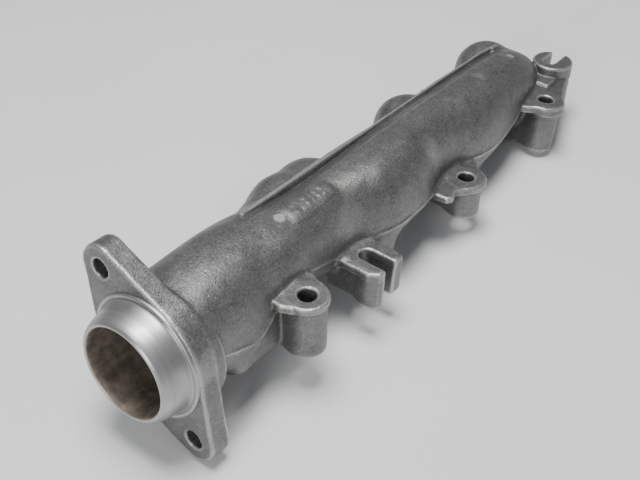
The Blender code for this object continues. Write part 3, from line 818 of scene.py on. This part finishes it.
def make_nose(material):
    """The ball seat, turned about the outlet's axis, with its sleeve through the flange."""
    flare = [
        (1.35, 33.7), (2.0, 33.25), (3.2, 32.75), (6.0, 32.2), (9.0, 31.7), (12.0, 30.9), (14.5, 30.0),
        (16.6, 28.9),
    ]
    heights, radii = np.array(flare).T
    seat = [(np.interp(w, heights, radii), w) for w in np.linspace(1.35, 16.6, 24)]
    ring = [(36.3, -0.6), (36.4, 0.8), (36.1, 1.4), (35.5, 1.75), (34.8, 1.8), (34.2, 1.55), (33.9, 1.2)]
    rim = [
        (NOSE_RIM_R + (OUTLET_BORE - NOSE_RIM_R) * t, NOSE_LENGTH - 1.0 * abs(2 * t - 1) ** 2.6)
        for t in np.linspace(0.06, 0.94, 8)
    ]
    bore = [(OUTLET_BORE, w) for w in np.linspace(16.4, -FLANGE_T, 12)]
    base = NOSE_BASE_R - 0.15
    profile = np.array([(base, -FLANGE_T), (base, -0.6)] + ring + seat + rim + bore)
    steps, count = 160, len(profile)
    angle = 2 * math.pi * np.arange(steps) / steps
    radius, out = profile.T
    u = np.cos(angle)[:, None] * radius
    v = np.sin(angle)[:, None] * radius
    w = np.tile(out, (steps, 1))
    c, s = math.cos(OUTLET_PITCH), math.sin(OUTLET_PITCH)
    ct, st = math.cos(FLANGE_TILT), math.sin(FLANGE_TILT)
    across, up = u * ct - v * st, u * st + v * ct
    points = np.stack([OUTLET[0] - w * c + up * s, OUTLET[1] + across, OUTLET[2] + w * s + up * c], -1)
    points = points.reshape(-1, 3)
    i, j = np.meshgrid(np.arange(steps), np.arange(count), indexing="ij")
    ni, nj = (i + 1) % steps, (j + 1) % count
    quads = np.stack([i * count + j, ni * count + j, ni * count + nj, i * count + nj], -1)
    quads = quads.reshape(-1, 4)
    mesh = bpy.data.meshes.new("turned_ball_seat")
    mesh.from_pydata(place(points).tolist(), [], quads.tolist())
    mesh.update()
    bm = bmesh.new()
    bm.from_mesh(mesh)
    bmesh.ops.recalc_face_normals(bm, faces=bm.faces)
    bm.to_mesh(mesh)
    bm.free()
    mesh.shade_smooth()
    mesh.set_sharp_from_angle(angle=math.radians(40))
    for key, values in {"turn_r": np.tile(radius, steps), "turn_w": np.tile(out, steps)}.items():
        attribute = mesh.attributes.new(key, "FLOAT", "POINT")
        attribute.data.foreach_set("value", (values * MM).astype(np.float32))
    show("turned_ball_seat", mesh, material, "outlet_ball_seat")


# ---------------------------------------------------------------- materials


class Shader:
    """A small helper for wiring a node material."""

    def __init__(self, name):
        self.material = bpy.data.materials.new(name)
        self.material.use_nodes = True
        self.tree = self.material.node_tree
        self.surface = self.tree.nodes["Principled BSDF"]
        self.where = self.node("ShaderNodeTexCoord").outputs["Object"]

    def node(self, kind, **settings):
        node = self.tree.nodes.new(kind)
        for key, value in settings.items():
            setattr(node, key, value)
        return node

    def feed(self, socket, value):
        if isinstance(value, bpy.types.NodeSocket):
            self.tree.links.new(value, socket)
        else:
            socket.default_value = value

    def noise(self, scale, detail=3.0, rough=0.6, distortion=0.0):
        node = self.node("ShaderNodeTexNoise")
        self.feed(node.inputs["Vector"], self.where)
        for key, value in (
            ("Scale", scale), ("Detail", detail), ("Roughness", rough), ("Distortion", distortion)
        ):
            node.inputs[key].default_value = value
        return node.outputs["Fac"]

    def cells(self, scale):
        node = self.node("ShaderNodeTexVoronoi")
        self.feed(node.inputs["Vector"], self.where)
        node.inputs["Scale"].default_value = scale
        return node.outputs["Distance"]

    def level(self, value, low, high, to_low=0.0, to_high=1.0):
        node = self.node("ShaderNodeMapRange", clamp=True)
        self.feed(node.inputs["Value"], value)
        for key, number in (
            ("From Min", low), ("From Max", high), ("To Min", to_low), ("To Max", to_high)
        ):
            node.inputs[key].default_value = number
        return node.outputs["Result"]

    def maths(self, operation, a, b):
        node = self.node("ShaderNodeMath", operation=operation)
        self.feed(node.inputs[0], a)
        self.feed(node.inputs[1], b)
        return node.outputs[0]

    def mix(self, factor, a, b, blend="MIX"):
        node = self.node("ShaderNodeMix", data_type="RGBA", blend_type=blend)
        self.feed(node.inputs["Factor"], factor)
        for key, value in (("A", a), ("B", b)):
            socket = [s for s in node.inputs if s.name == key and s.type == "RGBA"][0]
            self.feed(socket, value if isinstance(value, bpy.types.NodeSocket) else (*value, 1.0))
        return [s for s in node.outputs if s.type == "RGBA"][0]

    def layer(self, name):
        return self.node("ShaderNodeAttribute", attribute_name=name).outputs["Fac"]

    def bump(self, height, distance, strength=1.0, below=None):
        node = self.node("ShaderNodeBump")
        node.inputs["Strength"].default_value = strength
        node.inputs["Distance"].default_value = distance
        self.feed(node.inputs["Height"], height)
        if below is not None:
            self.feed(node.inputs["Normal"], below)
        return node.outputs["Normal"]


def cast_material():
    """Sand-cast iron: a grainy mid-grey skin, brighter on convex edges, partly real wear and partly painted
    highlight, with painted shade in concave recesses, brown inside.
    """
    s = Shader("sand_cast_iron")
    grain = s.noise(900.0, 3.0, 0.75)
    patches = s.noise(160.0, 5.0, 0.65)
    clouds = s.noise(17.0, 3.0, 0.55)
    specks = s.level(s.noise(620.0, 2.0, 0.8), 0.6, 0.74)
    bend = s.layer("bend")
    # Brighter on convex edges: partly real wear, partly a painted highlight where rounded edges would catch
    # the light.
    wear_and_edge_highlight = s.level(s.maths("ADD", bend, s.maths("MULTIPLY", grain, 0.35)), 0.34, 0.85)
    # Painted shade: darker in concave recesses and creases, where less light would reach.
    painted_hollow_shade = s.level(bend, -0.05, -0.45)
    inner = s.layer("inner")
    milled = s.layer("milled")
    ground = s.level(s.maths("ADD", s.layer("ground"), s.maths("MULTIPLY", patches, 0.6)), 0.75, 0.95)

    colour = s.mix(s.level(patches, 0.3, 0.7), (0.085, 0.084, 0.087), (0.18, 0.177, 0.177))
    colour = s.mix(s.level(clouds, 0.38, 0.66, 0.0, 0.5), colour, (0.2, 0.19, 0.18))
    colour = s.mix(s.level(grain, 0.35, 0.7, 0.0, 0.45), colour, (0.34, 0.335, 0.33))
    colour = s.mix(s.maths("MULTIPLY", specks, 0.55), colour, (0.5, 0.49, 0.47))
    # Painted shade darkens the concave recesses.
    colour = s.mix(s.maths("MULTIPLY", painted_hollow_shade, 0.5), colour, (0.08, 0.077, 0.076))
    # Painted highlight on convex edges, partly real wear.
    colour = s.mix(s.maths("MULTIPLY", wear_and_edge_highlight, 0.75), colour, (0.58, 0.57, 0.55))
    soot = s.mix(s.level(patches, 0.35, 0.65), (0.16, 0.14, 0.12), (0.34, 0.285, 0.23))
    colour = s.mix(inner, colour, soot)
    colour = s.mix(milled, colour, (0.42, 0.415, 0.41))
    colour = s.mix(s.maths("MULTIPLY", ground, 0.8), colour, (0.66, 0.64, 0.6))
    s.feed(s.surface.inputs["Base Color"], colour)

    rough = s.level(grain, 0.3, 0.7, 0.36, 0.52)
    rough = s.maths("SUBTRACT", rough, s.maths("MULTIPLY", wear_and_edge_highlight, 0.08))
    rough = s.maths("ADD", rough, s.maths("MULTIPLY", inner, 0.2))
    s.feed(s.surface.inputs["Roughness"], rough)
    s.surface.inputs["Metallic"].default_value = 0.75
    s.surface.inputs["Specular IOR Level"].default_value = 0.45

    calm = s.maths("SUBTRACT", 1.0, s.maths("MULTIPLY", milled, 0.9))
    pits = s.level(s.cells(700.0), 0.0, 0.5)
    height = s.maths("ADD", s.maths("MULTIPLY", grain, 0.7), s.maths("MULTIPLY", pits, 0.3))
    height = s.maths("MULTIPLY", height, calm)
    coarse = s.bump(s.maths("MULTIPLY", patches, calm), 0.0007, 0.4)
    s.feed(s.surface.inputs["Normal"], s.bump(height, 0.00035, 0.6, coarse))
    return s.material


def turned_material():
    """Satin turned iron with fine tool rings and faint brown handling marks."""
    s = Shader("turned_iron")
    join = s.node("ShaderNodeCombineXYZ")
    s.feed(join.inputs["X"], s.layer("turn_r"))
    s.feed(join.inputs["Y"], s.layer("turn_w"))
    rings = s.node("ShaderNodeTexNoise")
    s.feed(rings.inputs["Vector"], join.outputs[0])
    rings.inputs["Scale"].default_value = 2600.0
    rings.inputs["Detail"].default_value = 3.0
    bands = s.node("ShaderNodeTexNoise")
    s.feed(bands.inputs["Vector"], join.outputs[0])
    bands.inputs["Scale"].default_value = 420.0
    smear = s.noise(60.0, 4.0, 0.6)
    inside = s.maths("LESS_THAN", s.layer("turn_r"), (OUTLET_BORE + 0.4) * MM)

    colour = s.mix(s.level(rings.outputs["Fac"], 0.3, 0.7), (0.34, 0.335, 0.33), (0.5, 0.495, 0.49))
    colour = s.mix(s.level(smear, 0.5, 0.75, 0.0, 0.45), colour, (0.3, 0.28, 0.26))
    stain = s.mix(s.level(s.noise(120.0, 5.0, 0.7), 0.4, 0.65), (0.22, 0.19, 0.16), (0.42, 0.36, 0.3))
    colour = s.mix(inside, colour, stain)
    s.feed(s.surface.inputs["Base Color"], colour)
    rough = s.level(smear, 0.3, 0.7, 0.34, 0.48)
    s.feed(s.surface.inputs["Roughness"], s.maths("ADD", rough, s.maths("MULTIPLY", inside, 0.25)))
    s.surface.inputs["Metallic"].default_value = 0.9
    height = s.maths("ADD", rings.outputs["Fac"], s.maths("MULTIPLY", bands.outputs["Fac"], 1.5))
    s.feed(s.surface.inputs["Normal"], s.bump(height, 0.00006, 0.6))
    return s.material


def floor_material():
    s = Shader("pale_floor")
    colour = s.mix(s.level(s.noise(6.0, 2.0), 0.4, 0.6), (0.78, 0.78, 0.78), (0.8, 0.8, 0.8))
    s.feed(s.surface.inputs["Base Color"], colour)
    s.surface.inputs["Roughness"].default_value = 0.7
    return s.material


# ---------------------------------------------------------------- floor, light and camera


FLOOR_HALF = 3.0  # metres
EAR_TO_END = 397.0  # along the log, between the two places that touch the floor
EAR_TIP_IN = 6.0  # how far the ear's tip lies inside the flange's box along X
FLOOR_DROP = 0.0004  # metres below the ear's tip


def make_floor(material):
    """A pale floor under the two lowest places: the flange's lower ear and the far end."""
    ear = np.array(box_mm("outlet_flange")[0])
    rise = math.atan2(ORIGIN[2] - ear[2], EAR_TO_END)
    bm = bmesh.new()
    for x, y in ((-1, -1), (1, -1), (1, 1), (-1, 1)):
        bm.verts.new((x * FLOOR_HALF, y * FLOOR_HALF, 0.0))
    bm.faces.new(list(bm.verts))
    mesh = bpy.data.meshes.new("floor")
    bm.to_mesh(mesh)
    bm.free()
    floor = bpy.data.objects.new("floor", mesh)
    mesh.materials.append(material)
    under_ear = Vector(((ear[0] + EAR_TIP_IN) * MM, 0, -FLOOR_DROP))
    floor.matrix_world = Matrix.Translation(under_ear) @ Matrix.Rotation(-rise, 4, "Y")
    bpy.context.scene.collection.objects.link(floor)


def area_light(name, at, size, energy, aim=(0.0, 0.0, 0.05), tint=(1.0, 1.0, 1.0)):
    light = bpy.data.lights.new(name, "AREA")
    light.shape = "DISK"
    light.size = size
    light.energy = energy
    light.color = tint
    obj = bpy.data.objects.new(name, light)
    obj.location = at
    obj.rotation_euler = (Vector(at) - Vector(aim)).to_track_quat("Z", "Y").to_euler()
    bpy.context.scene.collection.objects.link(obj)


def make_lights():
    world = bpy.data.worlds.new("studio")
    world.use_nodes = True
    background = world.node_tree.nodes["Background"]
    background.inputs["Color"].default_value = (0.9, 0.94, 1.0, 1.0)
    background.inputs["Strength"].default_value = 0.24
    bpy.context.scene.world = world
    area_light("key", (-0.15, 0.05, 1.45), 0.7, 26.0)
    area_light("fill", (-1.3, -0.3, 0.55), 0.4, 7.0, aim=(-0.2, 0.0, 0.05))


SENSOR_WIDTH = 36.0
LENS = 53.409
CAMERA_AZIMUTH = math.radians(-53.54)
CAMERA_ELEVATION = math.radians(38.11)
CAMERA_ROLL = math.radians(2.32)
CAMERA_AIM = np.array([167.03, 40.09, -143.07])
CAMERA_DISTANCE = 828.0


def make_camera():
    a, e, roll = CAMERA_AZIMUTH, CAMERA_ELEVATION, CAMERA_ROLL
    back = np.array([math.sin(a) * math.cos(e), -math.cos(a) * math.cos(e), math.sin(e)])
    level = np.array([math.cos(a), math.sin(a), 0.0])
    rise = np.cross(back, level)
    right = level * math.cos(roll) + rise * math.sin(roll)
    up = rise * math.cos(roll) - level * math.sin(roll)
    where = place(CAMERA_AIM + back * CAMERA_DISTANCE)
    data = bpy.data.cameras.new("camera")
    data.sensor_width = SENSOR_WIDTH
    data.lens = LENS
    data.clip_start = 0.01
    camera = bpy.data.objects.new("camera", data)
    turn = Matrix([list(row) for row in zip(right, up, back)]).to_4x4()
    camera.matrix_world = Matrix.Translation(Vector(where)) @ turn
    bpy.context.scene.collection.objects.link(camera)
    bpy.context.scene.camera = camera


make_camera()
make_lights()
make_floor(floor_material())
make_casting(cast_material())
make_nose(turned_material())
